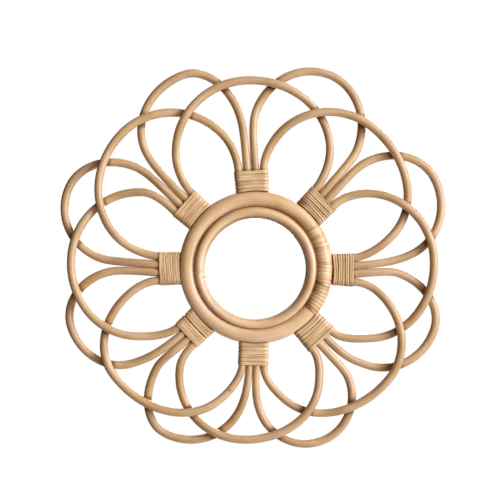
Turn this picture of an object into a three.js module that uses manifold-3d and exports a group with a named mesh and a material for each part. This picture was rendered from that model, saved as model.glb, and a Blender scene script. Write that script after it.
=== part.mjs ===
// Rattan flower wall mirror: a round glass in a double ring of rattan, with eight large and
// eight small petals of bent rod, tied to the ring by eight cane bindings.
// Millimetres. +X is right seen from the front, +Y goes into the wall, +Z is up.
// The origin is on the back of the hanger, where it lies against the wall (y = 0).

import * as THREE from 'three';
import { mergeVertices } from 'three/addons/utils/BufferGeometryUtils.js';
import Module from 'manifold-3d';

const wasm = await Module();
wasm.setup();

// Where the flower sits
const HUB_DROP = 55;
const STRAND_PLANE = -11.5;

// Petal rods
const ROD_RADIUS = 5;
const ROD_SIDES = 8;
const STRAND_PITCH = 10.4;
const STRAND_EXIT = 121;
const OVAL = 0.5523;

// Rings
const MAIN_RING = { x: 0.3, z: 0.6, plane: -10.4, radius: 85.3, thick: 9.5, sides: 12, steps: 40 };
const INNER_RING = { x: -1.4, z: -0.2, plane: -18.3, radius: 69.7, thick: 6.1, sides: 8, steps: 40 };

// The cane wrap over the joint of the main ring, on the right
const JOINT_WRAP = { start: -37, end: 31.5, inner: 10, outer: 10.7, sides: 12, steps: 8 };

// Glass, board and hanger: the back is how far each one's back face is from the wall
const GLASS = { radius: 73, back: -8.9, thick: 3 };
const BOARD = { radius: 73.6, back: -4.6, thick: 4 };
const DISC_STEPS = 36;
const HANGER = { length: 45, height: 9, thick: 1, raised: 29, ramp: 4, foot: -4.3 };
const TEETH = { count: 9, width: 2.6, height: 2, pitch: 3 };

// Cane bindings: a sleeve with round edges around four strands
const BINDING = { halfWidth: 21.9, halfThick: 6.3, wall: 0.6, top: 118.5, roundSteps: 6 };

// Each binding: its name, its bearing clockwise from the top, and how far its strands lean.
// The strands' feet stand on the round of the main ring, or on the wrapped joint of it.
const RING_SEAT = 95.9;
const WRAPPED_SEAT = 97.2;
const BINDINGS = [
  { name: 'n', bearing: -3.5, lean: 0.5 },
  { name: 'ne', bearing: 44.5, lean: 4 },
  { name: 'e', bearing: 91, lean: 5.5, seat: WRAPPED_SEAT },
  { name: 'se', bearing: 137, lean: -0.5 },
  { name: 's', bearing: 182, lean: -3 },
  { name: 'sw', bearing: 226.5, lean: -3 },
  { name: 'w', bearing: 269, lean: -6 },
  { name: 'nw', bearing: 311.5, lean: -3 },
];

// Each petal: its bearing, the reach of its tip and of its widest place from the hub, and its
// half widths there, on its left and right seen from the hub
const LARGE_PETALS = [
  { name: 'n', bearing: -3.5, reach: 235, waist: 146, left: 92, right: 101 },
  { name: 'ne', bearing: 40, reach: 228, waist: 145, left: 86, right: 104 },
  { name: 'e', bearing: 87, reach: 222, waist: 140, left: 86, right: 95 },
  { name: 'se', bearing: 130.5, reach: 216, waist: 134, left: 76, right: 102 },
  { name: 's', bearing: 187, reach: 215, waist: 136, left: 95, right: 80 },
  { name: 'sw', bearing: 233.5, reach: 223, waist: 139, left: 105, right: 69 },
  { name: 'w', bearing: 273, reach: 232, waist: 147, left: 93, right: 87 },
  { name: 'nw', bearing: 315.5, reach: 238, waist: 149, left: 97, right: 87 },
];
const SMALL_PETALS = [
  { name: 'nne', bearing: 20.5, reach: 258, waist: 184, left: 69, right: 66 },
  { name: 'ene', bearing: 63.5, reach: 249, waist: 183, left: 57, right: 71 },
  { name: 'ese', bearing: 109.5, reach: 235, waist: 170, left: 53, right: 68 },
  { name: 'sse', bearing: 159, reach: 231, waist: 170, left: 58, right: 60 },
  { name: 'ssw', bearing: 209.5, reach: 236, waist: 169, left: 69, right: 47 },
  { name: 'wsw', bearing: 252.5, reach: 243, waist: 183, left: 67, right: 51 },
  { name: 'wnw', bearing: 293, reach: 255, waist: 188, left: 65, right: 57 },
  { name: 'nnw', bearing: 339, reach: 258, waist: 190, left: 77, right: 49 },
];

// How each kind of petal runs: which binding it starts from, counted from its own, how many
// strands off the middle it starts and ends, how long the handles of its side curves are at the
// binding and at its widest place, and its swing towards the room (-) or the wall (+) at shares
// of its length. A large petal passes over the one before it, over the small ones, and under
// the one after it.
const LARGE_KIND = {
  firstBinding: -1,
  strands: 1.5,
  footHandle: 0.32,
  waistHandle: 0.32,
  steps: 28,
  swing: [
    { at: 0.05, by: 0 },
    { at: 0.25, by: -8.2 },
    { at: 0.62, by: -4.9 },
    { at: 0.735, by: 2.9 },
    { at: 0.95, by: 0 },
  ],
};
const SMALL_KIND = {
  firstBinding: 0,
  strands: 0.5,
  footHandle: 0.6,
  waistHandle: 0.2,
  steps: 22,
  swing: [
    { at: 0.05, by: 0 },
    { at: 0.27, by: 5.9 },
    { at: 0.73, by: 5.9 },
    { at: 0.95, by: 0 },
  ],
};

const COLOURS = {
  rod: '#c9a57c',
  pole: '#c79c70',
  cane: '#b98f62',
  glass: '#f2f4f5',
  board: '#8a6a48',
  steel: '#b9b9b4',
};

function finish(colour, roughness, metalness) {
  return new THREE.MeshStandardMaterial({ color: colour, roughness, metalness });
}

function piece(name, geometry, material) {
  const mesh = new THREE.Mesh(geometry, material);
  mesh.name = name;
  return mesh;
}

// The front view is worked out flat, in X and Z around the hub, with bearings clockwise from the top
function outward(bearing) {
  const angle = THREE.MathUtils.degToRad(bearing);
  return new THREE.Vector2(Math.sin(angle), Math.cos(angle));
}

function clockwise(bearing) {
  return outward(bearing + 90);
}

function fromHub(bearing, out, across) {
  return outward(bearing).multiplyScalar(out).addScaledVector(clockwise(bearing), across);
}

// How far out a thing starts that stands on the ring at this offset from a binding's middle
function footOf(offset, { seat = RING_SEAT }) {
  return Math.sqrt(seat ** 2 - offset ** 2);
}

function shifted(point, direction, length) {
  return point.clone().addScaledVector(direction, length);
}

// One petal seen from the front: straight in its first binding, four curves, straight again
function petalOutline(petal, kind, first, last) {
  const across = kind.strands * STRAND_PITCH;
  const start = fromHub(first.bearing, STRAND_EXIT, across);
  const end = fromHub(last.bearing, STRAND_EXIT, -across);
  const axis = outward(petal.bearing);
  const side = clockwise(petal.bearing);
  const tip = fromHub(petal.bearing, petal.reach, 0);
  const left = fromHub(petal.bearing, petal.waist, -petal.left);
  const right = fromHub(petal.bearing, petal.waist, petal.right);
  const rise = (petal.reach - petal.waist) * OVAL;
  const startSpan = start.distanceTo(left);
  const endSpan = end.distanceTo(right);
  const leave = shifted(start, outward(first.bearing - first.lean), startSpan * kind.footHandle);
  const widen = shifted(left, axis, -startSpan * kind.waistHandle);
  const narrow = shifted(right, axis, -endSpan * kind.waistHandle);
  const arrive = shifted(end, outward(last.bearing - last.lean), endSpan * kind.footHandle);
  const outline = new THREE.CurvePath();
  outline.add(new THREE.LineCurve(fromHub(first.bearing, footOf(across, first), across), start));
  outline.add(new THREE.CubicBezierCurve(start, leave, widen, left));
  outline.add(new THREE.CubicBezierCurve(
    left,
    shifted(left, axis, rise),
    shifted(tip, side, -petal.left * OVAL),
    tip,
  ));
  outline.add(new THREE.CubicBezierCurve(
    tip,
    shifted(tip, side, petal.right * OVAL),
    shifted(right, axis, rise),
    right,
  ));
  outline.add(new THREE.CubicBezierCurve(right, narrow, arrive, end));
  outline.add(new THREE.LineCurve(end, fromHub(last.bearing, footOf(across, last), -across)));
  return outline;
}

function swingAt(share, swing) {
  let before = swing[0];
  for (const key of swing) {
    if (share < key.at) {
      const blend = THREE.MathUtils.smoothstep(share, before.at, key.at);
      return THREE.MathUtils.lerp(before.by, key.by, blend);
    }
    before = key;
  }
  return before.by;
}

// The rod's centre line in space: the outline, with its swing over and under its neighbours
function petalLine(petal, kind, first, last) {
  const outline = petalOutline(petal, kind, first, last);
  const length = outline.getLength();
  const straight = STRAND_EXIT - footOf(kind.strands * STRAND_PITCH, first);
  const points = outline.getSpacedPoints(kind.steps).map((point, k) => {
    const share = (length * k / kind.steps - straight) / (length - 2 * straight);
    return new THREE.Vector3(point.x, STRAND_PLANE + swingAt(share, kind.swing), point.y - HUB_DROP);
  });
  return new THREE.CatmullRomCurve3(points);
}

function roundPoints(radius, sides) {
  const points = [];
  for (let k = 0; k < sides; k += 1) {
    const angle = 2 * Math.PI * (k + 0.5) / sides;
    points.push(new THREE.Vector2(radius * Math.cos(angle), radius * Math.sin(angle)));
  }
  return points;
}

function alongLine(section, line, steps) {
  return new THREE.ExtrudeGeometry(section, { steps, extrudePath: line, bevelEnabled: false });
}

function petals(family, list, kind) {
  const material = finish(COLOURS.rod, 0.45, 0);
  const section = new THREE.Shape(roundPoints(ROD_RADIUS, ROD_SIDES));
  return list.map((petal, k) => {
    const first = BINDINGS[(k + kind.firstBinding + BINDINGS.length) % BINDINGS.length];
    const last = BINDINGS[(k + 1) % BINDINGS.length];
    const line = petalLine(petal, kind, first, last);
    return piece(`${family}_petal_${petal.name}`, alongLine(section, line, kind.steps), material);
  });
}

// A ring of round stock about the Y axis
function ring(name, size) {
  const section = roundPoints(size.thick, size.sides).map((point) => point.add({ x: size.radius, y: 0 }));
  section.push(section[0].clone());
  const geometry = new THREE.LatheGeometry(section, size.steps);
  const mesh = piece(name, geometry, finish(COLOURS.pole, 0.45, 0));
  mesh.position.set(size.x, size.plane, size.z - HUB_DROP);
  return mesh;
}

// The cane wrapped over the joint of the main ring: a short curved sleeve
function jointBinding() {
  const { start, end, inner, outer, sides, steps } = JOINT_WRAP;
  const points = [];
  for (let k = 0; k <= steps; k += 1) {
    const angle = THREE.MathUtils.degToRad(start + (end - start) * k / steps);
    points.push(new THREE.Vector3(
      MAIN_RING.x + MAIN_RING.radius * Math.cos(angle),
      MAIN_RING.plane,
      MAIN_RING.z - HUB_DROP + MAIN_RING.radius * Math.sin(angle),
    ));
  }
  const section = new THREE.Shape(roundPoints(outer, sides));
  section.holes.push(new THREE.Path(roundPoints(inner, sides)));
  const line = new THREE.CatmullRomCurve3(points);
  return piece('ring_joint_binding', alongLine(section, line, steps), finish(COLOURS.cane, 0.5, 0));
}

// A slot with round ends, drawn anticlockwise
function slotPoints(halfWidth, halfThick, steps) {
  const points = [];
  for (const end of [{ x: halfWidth - halfThick, from: -90 }, { x: halfThick - halfWidth, from: 90 }]) {
    for (let k = 0; k <= steps; k += 1) {
      const angle = THREE.MathUtils.degToRad(end.from + 180 * k / steps);
      points.push(new THREE.Vector2(end.x + halfThick * Math.cos(angle), halfThick * Math.sin(angle)));
    }
  }
  return points;
}

// A sleeve round four strands: its foot follows the round of the main ring
function binding(place) {
  const { halfWidth, halfThick, wall, top, roundSteps } = BINDING;
  const section = new THREE.Shape(slotPoints(halfWidth, halfThick, roundSteps));
  section.holes.push(new THREE.Path(slotPoints(halfWidth - wall, halfThick - wall, roundSteps)));
  const geometry = new THREE.ExtrudeGeometry(section, { depth: 1, bevelEnabled: false });
  const places = geometry.getAttribute('position');
  for (let k = 0; k < places.count; k += 1) {
    places.setZ(k, places.getZ(k) > 0 ? top : footOf(places.getX(k), place));
  }
  const mesh = piece(`binding_${place.name}`, geometry, finish(COLOURS.cane, 0.5, 0));
  mesh.rotation.y = THREE.MathUtils.degToRad(place.bearing);
  mesh.position.set(0, STRAND_PLANE, -HUB_DROP);
  return mesh;
}

function disc(name, size, material) {
  const geometry = new THREE.CylinderGeometry(size.radius, size.radius, size.thick, DISC_STEPS);
  const mesh = piece(name, geometry, material);
  mesh.position.set(MAIN_RING.x, size.back - size.thick / 2, MAIN_RING.z - HUB_DROP);
  return mesh;
}

function solidOf(geometry) {
  const bare = geometry.clone();
  bare.deleteAttribute('normal');
  bare.deleteAttribute('uv');
  const merged = mergeVertices(bare);
  return new wasm.Manifold(new wasm.Mesh({
    numProp: 3,
    vertProperties: new Float32Array(merged.getAttribute('position').array),
    triVerts: new Uint32Array(merged.index.array),
  }));
}

function geometryOf(solid) {
  const mesh = solid.getMesh();
  const geometry = new THREE.BufferGeometry();
  geometry.setAttribute('position', new THREE.BufferAttribute(mesh.vertProperties, mesh.numProp));
  geometry.setIndex(new THREE.BufferAttribute(mesh.triVerts, 1));
  return geometry;
}

function pointsOf(pairs) {
  return pairs.map(([x, y]) => new THREE.Vector2(x, y));
}

// The sawtooth hanger: a strip whose middle stands off the board, with teeth along its lower edge
function hanger() {
  const { length, height, thick, raised, ramp, foot } = HANGER;
  const end = length / 2;
  const high = raised / 2;
  const low = high + ramp;
  const top = foot + thick;
  const strip = new THREE.Shape(pointsOf([
    [-end, foot], [-low, foot], [-high, -thick], [high, -thick], [low, foot], [end, foot],
    [end, top], [low, top], [high, 0], [-high, 0], [-low, top], [-end, top],
  ]));
  const bar = new THREE.ExtrudeGeometry(strip, { depth: height, bevelEnabled: false });
  bar.translate(0, 0, -height / 2);
  let solid = solidOf(bar);
  const notch = new THREE.Shape(pointsOf([
    [-TEETH.width / 2, -TEETH.height], [TEETH.width / 2, -TEETH.height], [0, TEETH.height],
  ]));
  for (let k = 0; k < TEETH.count; k += 1) {
    const cutter = new THREE.ExtrudeGeometry(notch, { depth: -2 * foot, bevelEnabled: false });
    cutter.rotateX(Math.PI / 2);
    cutter.translate((k - (TEETH.count - 1) / 2) * TEETH.pitch, -foot, -height / 2);
    solid = solid.subtract(solidOf(cutter));
  }
  return piece('hanger', geometryOf(solid), finish(COLOURS.steel, 0.35, 1));
}

const mirror = new THREE.Group();
mirror.add(disc('mirror_glass', GLASS, finish(COLOURS.glass, 0.03, 1)));
mirror.add(disc('backing_board', BOARD, finish(COLOURS.board, 0.8, 0)));
mirror.add(hanger());
mirror.add(ring('main_ring', MAIN_RING));
mirror.add(ring('inner_ring', INNER_RING));
mirror.add(jointBinding());
mirror.add(...petals('large', LARGE_PETALS, LARGE_KIND));
mirror.add(...petals('small', SMALL_PETALS, SMALL_KIND));
mirror.add(...BINDINGS.map(binding));

export default mirror;
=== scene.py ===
"""Rattan flower wall mirror: a round glass in a double ring of bent rattan, inside a flower of
eight large and eight small petals of rattan rod, tied to the ring with cane."""

import math
import random
from collections import namedtuple

import bpy
import numpy as np
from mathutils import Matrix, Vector
from mathutils.geometry import interpolate_bezier


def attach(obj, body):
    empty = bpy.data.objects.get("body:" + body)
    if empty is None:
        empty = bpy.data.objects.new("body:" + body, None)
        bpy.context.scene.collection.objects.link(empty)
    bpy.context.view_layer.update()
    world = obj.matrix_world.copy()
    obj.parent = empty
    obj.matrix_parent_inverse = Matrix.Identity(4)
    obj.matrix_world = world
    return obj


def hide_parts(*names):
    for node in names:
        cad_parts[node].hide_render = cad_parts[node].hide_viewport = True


bl_info = {
    "name": "Rattan Flower Mirror",
    "version": (1, 0, 0),
    "blender": (4, 5, 0),
    "location": "3D View > Sidebar > Mirror",
    "description": "Builds a round wall mirror in a flower of bent rattan rods",
    "category": "Object",
}

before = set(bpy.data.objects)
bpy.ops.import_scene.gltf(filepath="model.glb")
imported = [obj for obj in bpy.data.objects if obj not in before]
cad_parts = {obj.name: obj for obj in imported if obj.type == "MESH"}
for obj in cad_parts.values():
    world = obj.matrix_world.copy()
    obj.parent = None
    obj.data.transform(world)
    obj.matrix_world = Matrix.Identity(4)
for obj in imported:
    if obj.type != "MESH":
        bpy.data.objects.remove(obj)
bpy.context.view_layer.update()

MM = 0.001

# The hub is the middle of the flower, in the plane in which the rod ends lie
HUB = Vector((0, -11.5, -55)) * MM

# How far from the hub the rod ends leave their bindings, and how far these reach
STRAND_EXIT = 121 * MM
BINDING_TOP = 121.3 * MM

# How far a rod end is let into the ring, the cane's share of a binding's half width, and the
# place of the outer one of four strands, counted from the middle
BUTT = 0.8 * MM
CANE_ROOM = 1.0 * MM
OUTER_STRAND = 1.5

# The cane over the joint of the main ring: its first and last angle, in degrees anticlockwise
# from the right, its turns, how far it stands out and how thick it is
WRAP_START = -38.5
WRAP_END = 33.8
WRAP_TURNS = 25
WRAP_RISE = 0.9 * MM
WRAP_CANE = 0.75 * MM

# How far the camera is from the hub, in metres
CAMERA_AWAY = 1.4

Binding = namedtuple("Binding", "name bearing lean wrapped shift foot top turns slant fan laid gape gaps")
Petal = namedtuple("Petal", "name bearing reach waist left right")
Kind = namedtuple("Kind", "prefix petals first_binding strands foot_handle waist_handle swing")
Ring = namedtuple("Ring", "name centre radius thick spread butt gap scars pin")
Grain = namedtuple("Grain", "patches fibres pores scar_depth fibre_depth sheen")
Light = namedtuple("Light", "name place width height power colour")
Line = namedtuple("Line", "along place front across")

# Each binding: its bearing clockwise from the top, how far its strands lean, whether it stands on
# the ring's joint wrap, how far it sits clockwise of its bearing and its half width at the ring
# and at its top, in millimetres, the turns of its cane, their slant across the front, how far the
# first turn stands off the ring at its clockwise end, how closely the turns are laid, how wide
# their gaps are and how far from the hub these are
BINDINGS = (
    Binding("n", -3.5, 0.5, False, 0.9, 20.7, 21.9, 6, 0.3, 0, 1.0, 0.12, (107, 118)),
    Binding("ne", 44.5, 4, False, -1.1, 20.6, 21.4, 9, 0.5, 0, 0.91, 0.35, (101, 106, 112)),
    Binding("e", 91, 5.5, True, 0.1, 19.8, 21.4, 9, 0.8, 2.0, 0.88, 0.4, (100, 109, 115)),
    Binding("se", 137, -0.5, False, 1.3, 20.5, 22.6, 7, 0.4, 0, 0.98, 0.3, (103.5, 118.5)),
    Binding("s", 182, -3, False, 0, 19.2, 18.9, 6, -0.5, 0, 0.99, 0.22, (98, 107.5, 115)),
    Binding("sw", 226.5, -3, False, -0.8, 21.0, 20.4, 7, 0.6, 0, 0.97, 0.8, (107,)),
    Binding("w", 269, -6, False, 1.3, 20.5, 21.2, 9, -2.6, 0, 0.96, 0.15, (104, 113)),
    Binding("nw", 311.5, -3, False, 0.9, 20.5, 21.7, 7, 0.3, 0, 1.0, 0.1, (101,)),
)

# Each petal: its bearing, the reach of its tip and of its widest place from the hub, and its
# half widths there, left and right seen from the hub, in millimetres
LARGE_PETALS = (
    Petal("n", -3.5, 235, 146, 92, 101),
    Petal("ne", 40, 228, 145, 86, 104),
    Petal("e", 87, 222, 140, 86, 95),
    Petal("se", 130.5, 216, 134, 76, 102),
    Petal("s", 187, 215, 136, 95, 80),
    Petal("sw", 233.5, 223, 139, 105, 69),
    Petal("w", 273, 232, 147, 93, 87),
    Petal("nw", 315.5, 238, 149, 97, 87),
)
SMALL_PETALS = (
    Petal("nne", 20.5, 258, 184, 69, 66),
    Petal("ene", 63.5, 249, 183, 57, 71),
    Petal("ese", 109.5, 235, 170, 53, 68),
    Petal("sse", 159, 231, 170, 58, 60),
    Petal("ssw", 209.5, 236, 169, 69, 47),
    Petal("wsw", 252.5, 243, 183, 67, 51),
    Petal("wnw", 293, 255, 188, 65, 57),
    Petal("nnw", 339, 258, 190, 77, 49),
)

# How each kind of petal runs: the binding that it starts from, counted from its own, the strand
# that it is there, how stiffly it leaves its bindings and passes its waist, as shares of the span,
# and its swing, which is its place towards the room (-) or the wall (+) at shares of its length. A
# large petal passes over the one before it, over the small ones, and under the one after it.
LARGE_KIND = Kind("large", LARGE_PETALS, -1, 1.5, 0.32, 0.32, (
    (0.05, 0), (0.25, -8.2), (0.62, -4.9), (0.735, 2.9), (0.95, 0)))
SMALL_KIND = Kind("small", SMALL_PETALS, 0, 0.5, 0.6, 0.2, (
    (0.05, 0), (0.27, 5.9), (0.73, 5.9), (0.95, 0)))

# Each ring: its middle, its radius, the radius of its section and how much that grows towards
# the upper right, the angle and the width of the gap where its ends meet, the angles of the dark
# lines round it, and where its nail is along the ring and round its section. Angles are in degrees.
MAIN_RING = Ring(
    "main_ring", HUB + Vector((-0.9, 1.1, 1.1)) * MM, 85.2 * MM, 10.4 * MM, 0, -5, 0.2,
    (WRAP_END + 0.5,), (36.3, 90))
INNER_RING = Ring(
    "inner_ring", HUB + Vector((-1.15, -6.8, -0.5)) * MM, 70.4 * MM, 5.35 * MM, 0.88 * MM, 183.8, 0.35,
    (), (189.5, 155))


class MirrorSizes(bpy.types.PropertyGroup):
    rod_radius: bpy.props.FloatProperty(
        name="Rod radius", description="Radius of the petal rods", default=5.15 * MM, unit="LENGTH")
    rod_sides: bpy.props.IntProperty(
        name="Rod sides", description="Facets round a petal rod", default=28, min=8)
    ring_sides: bpy.props.IntProperty(
        name="Ring sides", description="Facets round the rings", default=48, min=12)
    step: bpy.props.FloatProperty(
        name="Step", description="Length of a facet along a rod", default=2.4 * MM, unit="LENGTH")
    internode: bpy.props.FloatProperty(
        name="Internode", description="Usual length between two nodes of the rattan",
        default=330 * MM, unit="LENGTH")
    node_swell: bpy.props.FloatProperty(
        name="Node swell", description="How far a node stands out of the rod",
        default=0.12 * MM, unit="LENGTH")
    cane_thickness: bpy.props.FloatProperty(
        name="Cane thickness", description="Thickness of the split cane", default=0.9 * MM, unit="LENGTH")


class MirrorColours(bpy.types.PropertyGroup):
    rod_light: bpy.props.FloatVectorProperty(
        name="Rod, light", description="Light tone of the petal rods", subtype="COLOR",
        default=(0.725, 0.438, 0.22))
    rod_dark: bpy.props.FloatVectorProperty(
        name="Rod, dark", description="Dark tone of the petal rods", subtype="COLOR",
        default=(0.52, 0.285, 0.108))
    pole_light: bpy.props.FloatVectorProperty(
        name="Ring, light", description="Light tone of the two rings", subtype="COLOR",
        default=(0.90, 0.572, 0.325))
    pole_dark: bpy.props.FloatVectorProperty(
        name="Ring, dark", description="Dark tone of the two rings", subtype="COLOR",
        default=(0.75, 0.435, 0.20))
    cane_light: bpy.props.FloatVectorProperty(
        name="Cane, light", description="Light tone of the cane strips", subtype="COLOR",
        default=(0.93, 0.60, 0.325))
    cane_dark: bpy.props.FloatVectorProperty(
        name="Cane, dark", description="Dark tone of the cane strips", subtype="COLOR",
        default=(0.62, 0.34, 0.132))
    node_mark: bpy.props.FloatVectorProperty(
        name="Node mark", description="Colour of the scar round a node", subtype="COLOR",
        default=(0.24, 0.12, 0.05))
    board: bpy.props.FloatVectorProperty(
        name="Board", description="Colour of the backing board", subtype="COLOR",
        default=(0.20, 0.115, 0.06))
    steel: bpy.props.FloatVectorProperty(
        name="Steel", description="Colour of the hanger and its nails", subtype="COLOR",
        default=(0.62, 0.61, 0.58))


def sizes():
    return bpy.context.scene.mirror_sizes


def colours():
    return bpy.context.scene.mirror_colours


# Lines: where a bar of stock runs once it is bent

def outward(bearing):
    angle = math.radians(bearing)
    return Vector((math.sin(angle), 0, math.cos(angle)))


def clockwise(bearing):
    return outward(bearing + 90)


def from_hub(bearing, out, across):
    return outward(bearing) * out + clockwise(bearing) * across


def strand_fit(half_width):
    """The radius and the pitch of four rods that a winding of this half width holds."""
    room = half_width - CANE_ROOM
    radius = min(sizes().rod_radius, room / 4)
    return radius, (room - radius) / OUTER_STRAND


def ring_edge(binding):
    """How far from the hub the ring's outline is at a binding."""
    wrap = WRAP_RISE if binding.wrapped else 0
    shift = outward(binding.bearing).dot(MAIN_RING.centre - HUB)
    return MAIN_RING.radius + MAIN_RING.thick + wrap + shift


def strand_ends(binding, strands):
    """Where a strand stands on the ring and where it leaves its binding. Strands are counted
    clockwise from the binding's middle."""
    foot_across, top_across = (
        strands * strand_fit(half * MM)[1] + binding.shift * MM for half in (binding.foot, binding.top))
    foot_out = math.sqrt(ring_edge(binding) ** 2 - foot_across ** 2) - BUTT
    foot = from_hub(binding.bearing, foot_out, foot_across)
    return foot, from_hub(binding.bearing, STRAND_EXIT, top_across)


def line_through(points, fronts=None):
    """A line with its length, its direction to the front and its direction across at each point."""
    place = np.array([tuple(p) for p in points], float)
    steps = np.linalg.norm(np.diff(place, axis=0), axis=1)
    along = np.concatenate([[0], np.cumsum(steps)])
    ahead = np.gradient(place, along, axis=0)
    ahead /= np.linalg.norm(ahead, axis=1)[:, None]
    front = np.tile((0.0, -1.0, 0.0), (len(place), 1)) if fronts is None else np.array(fronts, float)
    front -= ahead * np.sum(front * ahead, axis=1)[:, None]
    front /= np.linalg.norm(front, axis=1)[:, None]
    return Line(along, place, front, np.cross(ahead, front))


def fade(value, start, end):
    """Goes gently from 0 at the start to 1 at the end, which may be the lower of the two."""
    share = np.clip((value - start) / (end - start), 0, 1)
    return share * share * (3 - 2 * share)


def bell(away, reach):
    """Falls from 1 at a place to about a third at its reach on both sides."""
    return np.exp(-(away / reach) ** 2)


def swing_at(share, swing):
    """The rod's place over or under its neighbours at a share of its length."""
    before_at, before_by = swing[0]
    for at, by in swing[1:]:
        if share < at:
            return before_by + (by - before_by) * fade(share, before_at, at)
        before_at, before_by = at, by
    return before_by


# The handle that gives a curve the bulge of a quarter circle, and the points on lines
QUARTER_HANDLE = 0.5523
CURVE_POINTS = 80
PETAL_POINTS = 400
RING_POINTS = 361


def petal_line(petal, kind, first, last):
    """Straight in its first binding, four curves round the petal, and straight again. What swings
    towards the camera is drawn in and the rest is drawn out, so that the camera sees the outline
    that the petal's measures give."""
    reach, waist, left_out, right_out = (value * MM for value in petal[2:])
    first_foot, start = strand_ends(first, kind.strands)
    last_foot, end = strand_ends(last, -kind.strands)
    axis = outward(petal.bearing)
    side = clockwise(petal.bearing)
    tip = axis * reach
    left = axis * waist - side * left_out
    right = axis * waist + side * right_out
    rise = axis * (reach - waist) * QUARTER_HANDLE
    start_span = (start - left).length
    end_span = (end - right).length
    leave = start + outward(first.bearing - first.lean) * start_span * kind.foot_handle
    arrive = end + outward(last.bearing - last.lean) * end_span * kind.foot_handle
    curves = (
        (start, leave, left - axis * start_span * kind.waist_handle, left),
        (left, left + rise, tip - side * left_out * QUARTER_HANDLE, tip),
        (tip, tip + side * right_out * QUARTER_HANDLE, right + rise, right),
        (right, right - axis * end_span * kind.waist_handle, arrive, end),
    )
    points = [first_foot]
    for curve in curves:
        points += interpolate_bezier(*curve, CURVE_POINTS)[:-1]
    points += [end, last_foot]
    flat = line_through(points)
    straight = (points[1] - points[0]).length
    open_length = flat.along[-1] - 2 * straight
    even = np.linspace(0, flat.along[-1], PETAL_POINTS)
    place = np.column_stack([np.interp(even, flat.along, flat.place[:, k]) for k in range(3)])
    place[:, 1] = [swing_at((s - straight) / open_length, kind.swing) * MM for s in even]
    place[:, (0, 2)] *= 1 + place[:, 1:2] / CAMERA_AWAY
    return line_through(place + np.array(HUB))


def ring_line(ring):
    """The arc of a ring, which faces the room, from one end of its stock to the other."""
    start = ring.butt + ring.gap / 2
    angles = np.radians(np.linspace(start, start + 360 - ring.gap, RING_POINTS))
    return line_through(
        [ring.centre + Vector((math.cos(a), 0, math.sin(a))) * ring.radius for a in angles])


def ring_directions(angle, round_tube):
    """The directions from a ring's middle and out of its surface, at an angle anticlockwise from
    the right and another round its section, from its outer side to the front, in radians."""
    radial = Vector((math.cos(angle), 0, math.sin(angle)))
    return radial, radial * math.cos(round_tube) - Vector((0, 1, 0)) * math.sin(round_tube)


# Stock: straight bars along X, which are then bent along a line

def start_fresh():
    if bpy.context.object and bpy.context.object.mode != "OBJECT":
        bpy.ops.object.mode_set(mode="OBJECT")
    bpy.ops.object.select_all(action="DESELECT")


def points_of(piece):
    flat = np.empty(len(piece.data.vertices) * 3)
    piece.data.vertices.foreach_get("co", flat)
    return flat.reshape(-1, 3)


def move_points(piece, points):
    piece.data.vertices.foreach_set("co", np.ascontiguousarray(points, dtype=float).ravel())
    piece.data.update()


def new_sheet(name, columns, rows):
    """A flat grid to be shaped. Gives it, the column of each vertex and its share of the way
    up."""
    start_fresh()
    bpy.ops.mesh.primitive_grid_add(x_subdivisions=columns, y_subdivisions=rows, size=2)
    sheet = bpy.context.object
    sheet.name = sheet.data.name = name
    flat = points_of(sheet)
    column = np.rint((flat[:, 0] + 1) / 2 * columns).astype(int)
    return sheet, column, (flat[:, 1] + 1) / 2


def mend(doubles, close_ends=False):
    """Merges the doubles of the active piece, closes its open ends if told to, and turns its faces
    outwards."""
    bpy.ops.object.mode_set(mode="EDIT")
    bpy.ops.mesh.select_all(action="SELECT")
    bpy.ops.mesh.remove_doubles(threshold=doubles)
    if close_ends:
        bpy.ops.mesh.fill_holes(sides=0)
    bpy.ops.mesh.normals_make_consistent(inside=False)
    bpy.ops.object.mode_set(mode="OBJECT")


def ease_edges(piece, width, segments, angle):
    """Rounds the edges of the active piece that are sharper than an angle."""
    ease = piece.modifiers.new("Eased edge", "BEVEL")
    ease.width = width
    ease.segments = segments
    ease.angle_limit = math.radians(angle)
    bpy.ops.object.modifier_apply(modifier=ease.name)


def rolled_bar(name, stations, sides, section):
    """A grid rolled up along X into a closed bar. The section is a function of the station and
    the angle that gives the distances to the front and across."""
    bar, column, share = new_sheet(name, len(stations) - 1, sides)
    along = np.asarray(stations)[column]
    front, across = section(along, share * 2 * math.pi)
    move_points(bar, np.column_stack([along, front, across]))
    mend(0.01 * MM, close_ends=True)
    return bar


def store(piece, name, kind, values):
    """Keeps values at the piece's points, for its material to read."""
    layer = piece.data.attributes.new(name, kind, "POINT")
    field = "vector" if kind == "FLOAT_VECTOR" else "value"
    layer.data.foreach_set(field, np.ascontiguousarray(values).ravel())


# The half width of a node's scar, and the length of stock that the bars are cut from, in metres
SCAR_WIDTH = 1.0 * MM
STOCK_LENGTH = 9


def mark_stock(bar, rng, marks, stain):
    """Keeps the place of each vertex on the straight stock, which the grain follows, how near it
    is to a node and how dark painted shade and stains make it. That darkness is a function of the place on
    the stock."""
    stock = points_of(bar)
    near = np.zeros(len(stock))
    for mark in marks:
        near = np.maximum(near, bell(stock[:, 0] - mark, SCAR_WIDTH))
    store(bar, "node", "FLOAT", near)
    # How dark painted shade and stains make each vertex
    store(bar, "stain", "FLOAT", stain(stock))
    stock[:, 0] += rng.uniform(0, STOCK_LENGTH)
    store(bar, "stock", "FLOAT_VECTOR", stock)


def bend_along(bar, line):
    """Lays a straight bar along a line."""
    stock = points_of(bar)

    def at(values):
        return np.column_stack([np.interp(stock[:, 0], line.along, values[:, k]) for k in range(3)])

    bent = at(line.place) + at(line.front) * stock[:, 1:2] + at(line.across) * stock[:, 2:3]
    move_points(bar, bent)


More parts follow.
